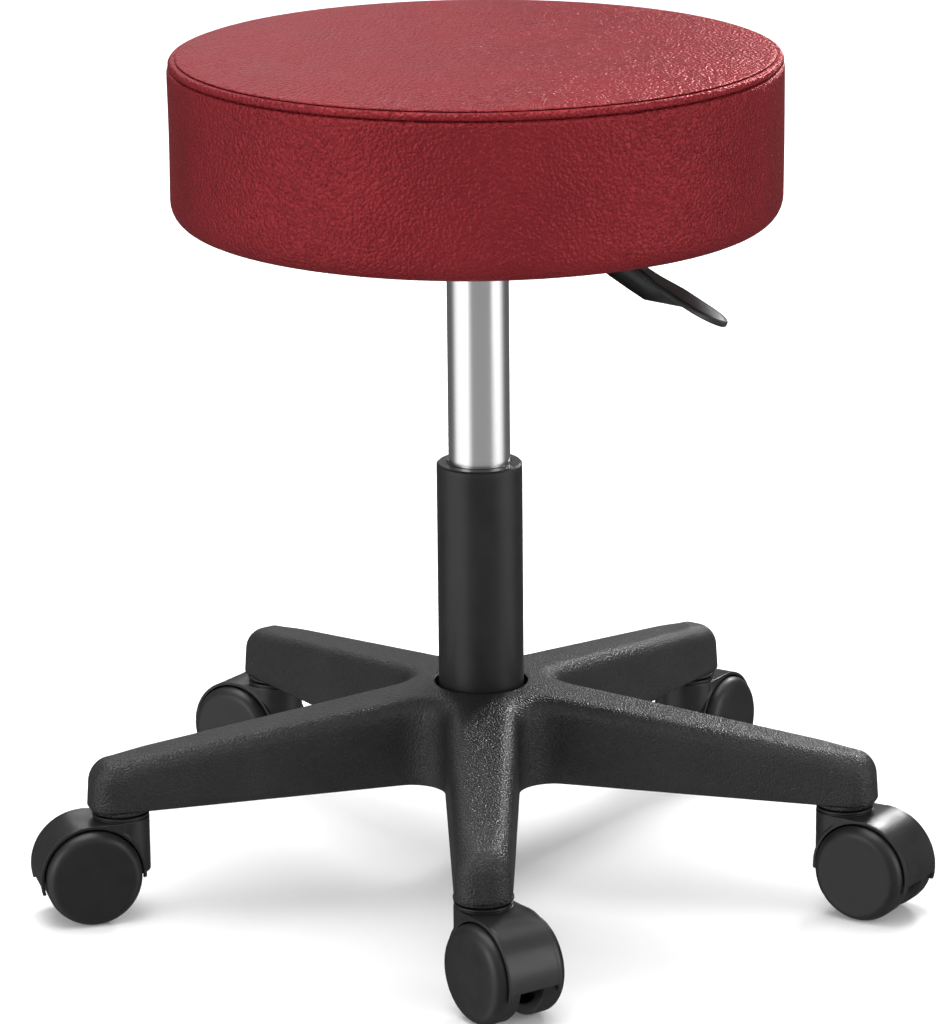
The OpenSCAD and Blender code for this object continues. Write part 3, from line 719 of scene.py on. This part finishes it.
def leg_outline():
    """Half of one leg's plan outline, from the corner between two legs to its straight end.

    Each entry is a point, its outward direction and the radius of the rolled top edge there.
    """
    armpit_steps, side_steps, corner_steps = 14, 44, 12
    blend = 25                  # length over which the rolled edge grows to that of the end
    half = math.pi / LEGS
    k = (LEG["root_w"] - LEG["tip_w"]) / (LEG["tip_x"] - LEG["root_x"])
    tilt = math.atan(k)
    c = ((LEG["armpit"] * math.sqrt(1 + k * k) + LEG["root_w"] + k * LEG["root_x"])
         / (math.sin(half) + k * math.cos(half)))
    cx, cy = c * math.cos(half), c * math.sin(half)
    points = []
    a0, a1 = half + math.pi, 1.5 * math.pi - tilt
    for i in range(armpit_steps + 1):
        a = a0 + (a1 - a0) * i / armpit_steps
        away = (-math.cos(a), -math.sin(a))
        fade = 0.5 - 0.5 * math.cos(math.pi * i / armpit_steps)
        points.append(((cx + LEG["armpit"] * math.cos(a), cy + LEG["armpit"] * math.sin(a)), away,
                       LEG["root_roll"] + (LEG["roll"] - LEG["root_roll"]) * fade))
    x0 = points[-1][0][0]
    x1 = LEG["end_x"] - LEG["corner"]
    for i in range(1, side_steps):
        x = x0 + (x1 - x0) * i / side_steps
        t = max(0.0, (x - (x1 - blend)) / blend)
        points.append(((x, leg_width(x)), (math.sin(tilt), math.cos(tilt)),
                       LEG["roll"] + (LEG["tip_roll"] - LEG["roll"]) * t * t * (3 - 2 * t)))
    y1 = leg_width(x1) - LEG["corner"]
    for x, y in arc(0, 0, 1, 90, 0, corner_steps):
        points.append(((x1 + LEG["corner"] * x, y1 + LEG["corner"] * y), (x, y), LEG["tip_roll"]))
    return points


def leg_mesh():
    """Points and faces of a fifth of the base, with +X along its leg."""
    outline = leg_outline()
    across, rolls, hub_rows, side_rows, foot_rows = 12, 8, 6, 6, 3
    chamfer = 0.8
    half = math.pi / LEGS
    verts, faces = [], []

    def add_rows(rows):
        """Adds a grid of rows of points to the mesh."""
        start = len(verts)
        for row in rows:
            verts.extend(row)
        faces.extend(grid_faces(len(rows), len(rows[0]), start=start))

    def cross_rows(inset, height, hub_r):
        """Rows of points across the leg, from the hub's bore out to the end."""
        rows = []
        edge = [(p[0] - n[0] * inset(rr), p[1] - n[1] * inset(rr)) for p, n, rr in outline]
        chord = [(edge[0][0], edge[0][1] * (1 - 2 * m / across)) for m in range(across + 1)]
        turns = [half * (1 - 2 * m / across) for m in range(across + 1)]
        circle = [(hub_r * math.cos(a), hub_r * math.sin(a)) for a in turns]
        for b in range(hub_rows + 1):
            t = b / hub_rows
            rows.append([(p[0] + (q[0] - p[0]) * t, p[1] + (q[1] - p[1]) * t)
                         for p, q in zip(circle, chord)])
        for x, y in edge[1:]:
            rows.append([(x, y * (1 - 2 * m / across)) for m in range(across + 1)])
        return [[(x, y, float(height(math.hypot(x, y)))) for x, y in row] for row in rows]

    def wall(px, py, nx, ny, rr):
        """Points down the side of the leg, from its flat top over the rolled edge to its foot."""
        column = []
        for i in range(rolls + 1):
            a = math.pi / 2 * (1 - i / rolls)
            inset = rr * (1 - math.cos(a)) + LEG["draft"] * math.cos(a)
            x, y = px - nx * inset, py - ny * inset
            column.append((x, y, float(base_top(math.hypot(x, y))) - rr * (1 - math.sin(a))))
        top_z = column[-1][2]
        foot_z = float(base_foot(math.hypot(px, py))) + LEG["foot"]
        for i in range(1, side_rows + 1):
            inset = LEG["draft"] * (1 - i / side_rows)
            column.append((px - nx * inset, py - ny * inset, top_z + (foot_z - top_z) * i / side_rows))
        for i in range(1, foot_rows + 1):
            a = math.pi / 2 * i / foot_rows
            inset = LEG["foot"] * (1 - math.cos(a))
            x, y = px - nx * inset, py - ny * inset
            column.append((x, y, float(base_foot(math.hypot(x, y))) + LEG["foot"] * (1 - math.sin(a))))
        return column

    add_rows(cross_rows(lambda rr: rr, base_top, LEG["bore"] + chamfer))
    add_rows(cross_rows(lambda rr: LEG["foot"], base_foot, LEG["bore"]))
    for side in (1, -1):
        add_rows([wall(px, side * py, nx, side * ny, rr) for (px, py), (nx, ny), rr in outline])
    (px, py), (nx, ny), rr = outline[-1]
    add_rows([wall(px, py * (1 - 2 * m / across), 1.0, 0.0, rr) for m in range(across + 1)])
    line = ((LEG["bore"] + chamfer, float(base_top(LEG["bore"] + chamfer))),
            (LEG["bore"], float(base_top(0)) - chamfer), (LEG["bore"], float(base_foot(LEG["bore"]))))
    bore = []
    for m in range(across + 1):
        a = half * (1 - 2 * m / across)
        bore.append([(r * math.cos(a), r * math.sin(a), z) for r, z in line])
    add_rows(bore)
    return verts, faces


def pocket_roof(x, y):
    """Height of the roof of the pockets under a leg."""
    return float(base_top(math.hypot(x, y))) - POCKET_ROOF


def star_base():
    """The moulded base: five hollow ribbed legs run into a bored hub."""
    boss = [(0, BOSS), (15.9, BOSS), (16.6, BOSS + 0.2), (16.9, BOSS + 0.6), (16.9, BOSS + 1.7),
            (16.5, BOSS + 2.1), (15.4, BOSS + 2.4), (15.4, BOSS + 12), (0, BOSS + 12)]
    socket = [(0, BELOW), (SOCKET_R, BELOW), (SOCKET_R, BOSS + SOCKET_H), (0, BOSS + SOCKET_H)]
    part, quads = leg_mesh()
    verts, faces = [], []
    for i in range(LEGS):
        a = math.radians(-90 + 360 * i / LEGS)
        c, s = math.cos(a), math.sin(a)
        start = len(verts)
        verts += [(x * c - y * s, x * s + y * c, z) for x, y, z in part]
        faces += [tuple(start + k for k in q) for q in quads]
    ob = add_mesh("star_base_moulding", verts, faces, merge=0.01)

    bosses, tools = [], []
    for i in range(LEGS):
        a = math.radians(-90 + 360 * i / LEGS)
        turn = Matrix.Rotation(a, 4, "Z")
        place = turn @ Matrix.Translation((STEM_CIRCLE * MM, 0, 0))
        bosses.append(revolve("boss", boss, 64, closed=False, matrix=place))
        tools.append(revolve("socket", socket, 32, closed=False, matrix=place))
        for x0, x1, wall in POCKETS:
            w0, w1, c = leg_width(x0) - wall, leg_width(x1) - wall, POCKET_CORNER
            outline = [(x0 + c, -w0), (x1 - c, -w1), (x1, -w1 + c), (x1, w1 - c),
                       (x1 - c, w1), (x0 + c, w0), (x0, w0 - c), (x0, -w0 + c)]
            tool = prism("pocket", outline, BELOW, pocket_roof)
            tool.data.transform(turn)
            tools.append(tool)
    boolean(ob, join("bosses", bosses), "UNION")
    boolean(ob, join("tools", tools))
    smooth(ob, 40)
    finish(ob, "base", "base_plastic", PEBBLE, "star_base")


# ---------------------------------------------------------------- casters

WHEEL_R = joint["wheel_1a_spin"]["pos_m"][2] / MM
HOOD_STEP = 0.34                # voxel size that the hood is blended with
# r, in_r: radii outside and inside about the axle, w: half width, web: half of the middle wall,
# neck, top: the collar's radius and height, front_z, rear_z: heights of the lower edge
HOOD = {
    "r": WHEEL_R + 2.7, "in_r": WHEEL_R + 0.8, "w": 17.0, "web": 6.0,
    "neck": 16.6, "top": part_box("caster_1_hood")[1][2] / MM,
    "front_z": 26.5, "rear_z": 24.5, "lip": 2.0, "lip_drop": 5.0,
    "bore": 4.05, "axle": 3.0, "boss": 8.0,
}
# radii: bore, hub, rim_in, roll; heights along the axle: face, mouth, cap, roll_at
WHEEL_FORM = {
    "bore": 3.05, "hub": 8.0, "rim_in": 21.6, "face": 17.0, "mouth": 7.6, "cap": 20.3,
    "roll": 6.6, "roll_at": 17.0,
}


def along_axle(x, z):
    """Turns a solid about Z into one along the axle, +Y, through (x, z)."""
    return Matrix.Translation((x * MM, 0, z * MM)) @ Matrix.Rotation(-math.pi / 2, 4, "X")


def hood_mesh(trail, axle_z):
    """One hood in its own frame: the stem axis is Z, and the trail runs along +X."""
    h = HOOD
    front = -h["neck"]
    rear = trail + h["r"]
    spare = 5                   # how far the cutting blocks reach past the hood
    centre = along_axle(trail, axle_z)

    def lower_cut(rear_drop):
        """A block that takes away what is under the sloping lower edge."""
        cut = prism("cut", [(front - spare, -60), (rear + spare, -60),
                            (rear + spare, h["rear_z"] - rear_drop), (front - spare, h["front_z"])], -40, 40)
        cut.data.transform(Matrix.Rotation(math.pi / 2, 4, "X"))
        return cut

    arch = arc(trail, axle_z, h["r"], -60, 90, 48)
    body = prism("hood", arch + [(front, axle_z + h["r"]), (front, 2)], -h["w"], h["w"])
    body.data.transform(Matrix.Rotation(math.pi / 2, 4, "X"))
    plan = arc(0, 0, h["neck"], 90, 270, 40)
    plan += [(2, -h["w"]), (rear + spare, -h["w"]), (rear + spare, h["w"]), (2, h["w"])]
    boolean(body, prism("plan", plan, -20, 90), "INTERSECT")
    neck, top, shelf, inside = h["neck"], h["top"], axle_z + h["r"], 50
    collar = [(0, inside), (neck - 0.9, inside), (neck - 0.9, shelf + 0.5), (neck - 0.1, shelf + 0.9),
              (neck - 0.1, top - 0.2), (neck - 0.4, top), (0, top)]
    boolean(body, revolve("collar", collar, 96, closed=False), "UNION")
    boolean(body, lower_cut(0))
    rim = [(h["in_r"], h["w"] - h["lip"]), (h["r"] + 0.1, h["w"] - h["lip"]), (h["r"] + 0.1, h["w"] + 0.2),
           (h["in_r"], h["w"] + 0.2)]
    for side in (1, -1):
        lip = revolve("lip", [(x, side * y) for x, y in rim], 128, matrix=centre)
        boolean(lip, lower_cut(h["lip_drop"]))
        boolean(body, lip, "UNION")
    boss = [(0, -h["web"]), (h["boss"], -h["web"]), (h["boss"], h["web"]), (0, h["web"])]
    boolean(body, revolve("axle_boss", boss, 48, closed=False, matrix=centre), "UNION")
    outside = 25
    for s in (-1, 1):
        well = [(0, s * h["web"]), (h["in_r"], s * h["web"]), (h["in_r"], s * outside), (0, s * outside)]
        boolean(body, revolve("well", well, 128, closed=False, matrix=centre))
    modify(body, "REMESH", mode="VOXEL", voxel_size=HOOD_STEP * MM, use_smooth_shade=True)
    modify(body, "SMOOTH", factor=0.5, iterations=2)
    modify(body, "DECIMATE", ratio=0.25)
    holes = [revolve("stem_hole", [(0, 37), (h["bore"], 37), (h["bore"], 70), (0, 70)], 32, closed=False),
             revolve("axle_hole", [(0, -20), (h["axle"], -20), (h["axle"], 20), (0, 20)], 32, closed=False,
                     matrix=centre)]
    for tool in holes:
        boolean(body, tool)
    mesh = body.data
    bpy.data.objects.remove(body)
    return mesh


def wheel_mesh():
    """One wheel about Z, with its face towards +Z and its inner side open."""
    w, r = WHEEL_FORM, WHEEL_R
    bore, hub, rim_in, face, mouth = w["bore"], w["hub"], w["rim_in"], w["face"], w["mouth"]
    front = w["roll_at"] + w["roll"]
    profile = [(bore, w["cap"]), (bore, 7.0), (7.4, 7.0), (hub, mouth), (hub, face), (rim_in, face),
               (rim_in, 8.2), (22.2, mouth), (r - 1.2, mouth), (r - 0.4, 8.0), (r, 8.9)]
    profile += arc(r - w["roll"], w["roll_at"], w["roll"], 0, 84, 14)
    profile += [(18.0, front + 0.03), (12.0, front + 0.07), (6.0, front + 0.1), (0, front + 0.1)]
    ob = revolve("wheel", profile + [(0, w["cap"])], 128)
    smooth(ob, 30)
    mesh = ob.data
    bpy.data.objects.remove(ob)
    return mesh


def casters():
    """Five twin-wheel casters, each hood turned as its joint says."""
    first = joint["caster_1_swivel"]["pos_m"]
    axle = joint["wheel_1a_spin"]["pos_m"]
    trail = math.hypot(axle[0] - first[0], axle[1] - first[1]) / MM
    hood = hood_mesh(trail, axle[2] / MM)
    wheel = wheel_mesh()
    for n in range(1, LEGS + 1):
        stem = Vector(joint[f"caster_{n}_swivel"]["pos_m"])
        axle = Vector(joint[f"wheel_{n}a_spin"]["pos_m"])
        heading = math.atan2(axle.y - stem.y, axle.x - stem.x)
        place = Matrix.Translation((stem.x, stem.y, 0)) @ Matrix.Rotation(heading, 4, "Z")
        ob = add_object(f"caster_{n}_hood_shell", hood.copy())
        ob.data.transform(place)
        finish(ob, f"caster_{n}", "caster_plastic", CASTER, f"caster_{n}_hood")
        for letter, flip in (("a", 1), ("b", -1)):
            ob = add_object(f"caster_{n}_wheel_{letter}_disc", wheel.copy())
            mirror = Matrix.Rotation(0 if flip == 1 else math.pi, 4, "Z")
            ob.data.transform(place @ Matrix.Translation((trail * MM, 0, axle.z)) @ mirror
                              @ Matrix.Rotation(-math.pi / 2, 4, "X"))
            finish(ob, f"wheel_{n}{letter}", "wheel_plastic", WHEEL, f"caster_{n}_wheel_{letter}")


# ---------------------------------------------------------------- height lever

# along the lever from its bend: the paddle's start, its waist, hip and rounded tip, the skirt's end
LEVER = {
    "bend": (54.0, 0.0, SEAT["board"] - 19.4), "yaw": -52.6, "drop": 14.1, "roll": -17.0,
    "start": 36.0, "length": 136.9, "rod_r": 4.0, "rod_end": 76.0,
    "root_w": 6.6, "tip_w": 11.2, "waist": 70.0, "hip": 92.0, "tip_long": 22.0,
    "skirt_end": 112.0, "skirt_top": 2.6, "step": 0.32,
}

# round the paddle's edge from below to above: distance outside the outline, height
PADDLE_EDGE = ((-2.2, 1.9), (-1.0, 1.6), (-0.2, 2.0), (0, 2.8), (0, 4.2), (-0.3, 5.0), (-1.0, 5.5),
               (-1.7, 5.4), (-2.4, 5.2), (-4.5, 5.35))


def lever_place():
    """The lever's own frame: from its bend, with +X along it."""
    return (Matrix.Translation([c * MM for c in LEVER["bend"]])
            @ Matrix.Rotation(math.radians(LEVER["yaw"]), 4, "Z")
            @ Matrix.Rotation(math.radians(LEVER["drop"]), 4, "Y")
            @ Matrix.Rotation(math.radians(LEVER["roll"]), 4, "X"))


def lever_handle():
    """The moulded paddle: a thin blade, and under its inner half a scooped skirt round the rod."""
    start, end, root_w, tip_w = (LEVER[key] for key in ("start", "length", "root_w", "tip_w"))
    waist, hip, tip_long = (LEVER[key] for key in ("waist", "hip", "tip_long"))
    skirt_end, skirt_top = LEVER["skirt_end"], LEVER["skirt_top"]
    outline = [(x, root_w + (tip_w - root_w) * ease((x - waist) / (hip - waist)))
               for x in np.linspace(start, end - tip_long, 18)]
    outline += [(end - tip_long + tip_long * math.sin(a), tip_w * math.cos(a))
                for a in np.linspace(0, math.pi / 2, 14)[1:]]
    outline += [(x, -y) for x, y in reversed(outline[:-1])]
    pts = np.array(outline)
    ahead = np.roll(pts, -1, axis=0) - np.roll(pts, 1, axis=0)
    normal = np.column_stack([-ahead[:, 1], ahead[:, 0]])
    normal /= np.linalg.norm(normal, axis=1)[:, None]
    paddle = loft("handle", [[(p[0] + n[0] * d, p[1] + n[1] * d, z) for p, n in zip(pts, normal)]
                             for d, z in PADDLE_EDGE])

    def skirt_row(x):
        """A section of the skirt: straight on the far side, hollowed on the near side."""
        deep, rise, fade_at, fade_long = 8.0, 9.6, 80, 32
        low = -deep + rise * min(max((x - fade_at) / fade_long, 0.0), 1.0)
        wide = 5.4 + 1.4 * ease((x - start) / 30) + 1.2 * ease((x - 78) / 26)
        hollow = 2.4 * ease((x - start - 4) / 8) * (1 - ease((x - 74) / 20))
        near = [(x, -wide + hollow * math.sin(math.pi * t) ** 0.7, skirt_top + (low - skirt_top) * t)
                for t in np.linspace(0, 1, 11)]
        return near + [(x, wide, low), (x, wide, skirt_top)]

    skirt = loft("skirt", [skirt_row(x) for x in np.linspace(start, skirt_end, 39)])
    boolean(paddle, skirt, "UNION")
    modify(paddle, "REMESH", mode="VOXEL", voxel_size=LEVER["step"] * MM, use_smooth_shade=True)
    modify(paddle, "SMOOTH", factor=0.5, iterations=3)
    modify(paddle, "DECIMATE", ratio=0.4)
    low, high, rod_r = start - 6, LEVER["rod_end"], LEVER["rod_r"]
    bore = revolve("rod_hole", [(0, low), (rod_r, low), (rod_r, high), (0, high)], 32, closed=False,
                   matrix=Matrix.Rotation(math.pi / 2, 4, "Y"))
    boolean(paddle, bore)
    paddle.name = "lever_paddle"
    paddle.data.transform(lever_place())
    finish(paddle, "lever", "handle_plastic", HANDLE, "lever_handle")


# ---------------------------------------------------------------- CAD pieces that keep their shape

CAD_LOOKS = {
    "hub_sleeve": STEEL, "column_tube": PAINT, "column_end_plate": STEEL, "guide_bush": BUSH,
    "bearing_lower_race": ZINC, "stem_grip_rings": ZINC, "piston_rod": ZINC, "piston": ZINC,
    "bearing_upper_race": ZINC, "bearing_balls": ZINC, "bump_stop": RUBBER, "rod_retaining_clip": ZINC,
    "seat_board": PLYWOOD, "dust_cover": CLOTH, "staples": ZINC, "tee_nuts": ZINC, "seat_bolts": ZINC,
    "seat_washers": ZINC, "seat_plate": STEEL, "mechanism_housing": STEEL, "taper_socket": ZINC,
    "lever_pivot_pin": ZINC, "pressure_tube": CHROME, "tube_end_cap": BUSH, "valve_plug": ZINC,
    "lever_arm": STEEL, "release_button": ZINC,
}
for number in range(1, LEGS + 1):
    CAD_LOOKS[f"caster_{number}_stem"] = ZINC
    CAD_LOOKS[f"caster_{number}_axle"] = ZINC


def cad_looks():
    """Gives every CAD node that still shows its material."""
    for name, material in CAD_LOOKS.items():
        ob = nodes[name]
        if not ob.material_slots:
            ob.data.materials.append(material)
        for slot in ob.material_slots:
            slot.material = material


# ---------------------------------------------------------------- stage

FLOOR_SIZE = 30.0
WALL_LIGHT = 0.34
CEILING_LIGHT = 0.9
SIDE_WALL_LIGHT = 0.85
BACKDROP = 0.95                 # what the camera sees behind the stool
CAMERA_AT = (0, -2.7, 0.99486)
CAMERA_PITCH = 16.024           # degrees down from level
CAMERA_YAW = 0.128
CAMERA_ROLL = -0.572
LENS, SENSOR = 169.6, 36


def floor():
    """A wide flat floor that mirrors do not see."""
    bm = bmesh.new()
    bmesh.ops.create_grid(bm, x_segments=8, y_segments=8, size=FLOOR_SIZE)
    mesh = bpy.data.meshes.new("floor")
    bm.to_mesh(mesh)
    bm.free()
    ob = add_object("floor", mesh)
    ob.data.materials.append(white_floor())
    ob.visible_glossy = False


def softbox(name, place, aim, size, power):
    """A soft area light that looks at a point."""
    data = bpy.data.lights.new(name, "AREA")
    data.shape = "RECTANGLE"
    data.size, data.size_y = size
    data.energy = power
    ob = add_object(name, data)
    ob.location = place
    ob.rotation_euler = (Vector(aim) - Vector(place)).to_track_quat("-Z", "Y").to_euler()




def world():
    """A plain studio room: bright overhead, pale side walls, a dim wall behind the stool."""
    made = bpy.data.worlds.new("studio")
    bpy.context.scene.world = made
    made.use_nodes = True
    tree = made.node_tree
    where = tree.nodes.new("ShaderNodeTexCoord")
    parts = tree.nodes.new("ShaderNodeSeparateXYZ")
    tree.links.new(where.outputs["Generated"], parts.inputs[0])

    def math_node(operation, a, b):
        """The output of one sum of two numbers or outputs."""
        made_node = tree.nodes.new("ShaderNodeMath")
        made_node.operation = operation
        for socket, value in zip(made_node.inputs, (a, b)):
            if isinstance(value, float):
                socket.default_value = value
            else:
                tree.links.new(value, socket)
        return made_node.outputs[0]

    def step(value, start, end, low=0.0, high=1.0, kind="SMOOTHSTEP"):
        """Goes from low to high as the value goes from start to end."""
        spread = tree.nodes.new("ShaderNodeMapRange")
        spread.interpolation_type = kind
        span = {"From Min": start, "From Max": end, "To Min": low, "To Max": high}
        for name, number in span.items():
            spread.inputs[name].default_value = number
        tree.links.new(value, spread.inputs["Value"])
        return spread.outputs["Result"]

    x, y, z = (parts.outputs[axis] for axis in "XYZ")
    height = step(z, 0.0, 1.0, WALL_LIGHT, CEILING_LIGHT, "LINEAR")
    behind = math_node("MULTIPLY", step(y, 0.0, 0.6, 0.0, 0.65), step(z, 0.9, 0.5))
    room = math_node("MULTIPLY", height, math_node("SUBTRACT", 1.0, behind))
    off_axis = math_node("ABSOLUTE", math_node("SUBTRACT", x, 0.15), 0.0)
    sideways = step(off_axis, 0.5, 0.85, 0.0, SIDE_WALL_LIGHT)
    sides = math_node("MULTIPLY", sideways, math_node("MULTIPLY", step(y, 0.35, -0.1), step(z, 0.4, 0.05)))
    seen = tree.nodes.new("ShaderNodeLightPath").outputs["Is Camera Ray"]
    light = math_node("MULTIPLY", math_node("ADD", room, sides), math_node("SUBTRACT", 1.0, seen))
    backdrop = math_node("MULTIPLY", seen, BACKDROP)
    tree.links.new(math_node("ADD", light, backdrop), tree.nodes["Background"].inputs["Color"])


def camera():
    """Long lens from in front, 16 degrees above the horizon."""
    data = bpy.data.cameras.new("camera")
    data.lens = LENS
    data.sensor_width = SENSOR
    data.clip_end = 100
    ob = add_object("camera", data)
    look = (Matrix.Rotation(math.radians(CAMERA_YAW), 4, "Z")
            @ Matrix.Rotation(math.radians(90 - CAMERA_PITCH), 4, "X")
            @ Matrix.Rotation(math.radians(CAMERA_ROLL), 4, "Z"))
    ob.matrix_world = Matrix.Translation(CAMERA_AT) @ look
    bpy.context.scene.camera = ob


seat()
star_base()
casters()
lever_handle()
cad_looks()
floor()
world()
softbox("overhead", (-0.2, 0.2, 2.7), (0, 0, 0.2), (2.4, 2.4), 84)
softbox("left", (-1.75, -1.3, 0.75), (0, 0, 0.35), (1.2, 1.5), 18)
softbox("right", (1.9, -0.9, 0.75), (0, 0, 0.35), (1.2, 1.5), 17)
softbox("rim", (0.75, 1.3, 0.98), (0, -0.1, 0.1), (0.4, 0.4), 15)
softbox("back", (-0.5, 2.2, 1.12), (0, 0, 0.45), (1.0, 0.4), 4)
camera()
bpy.context.scene.view_settings.view_transform = "Standard"
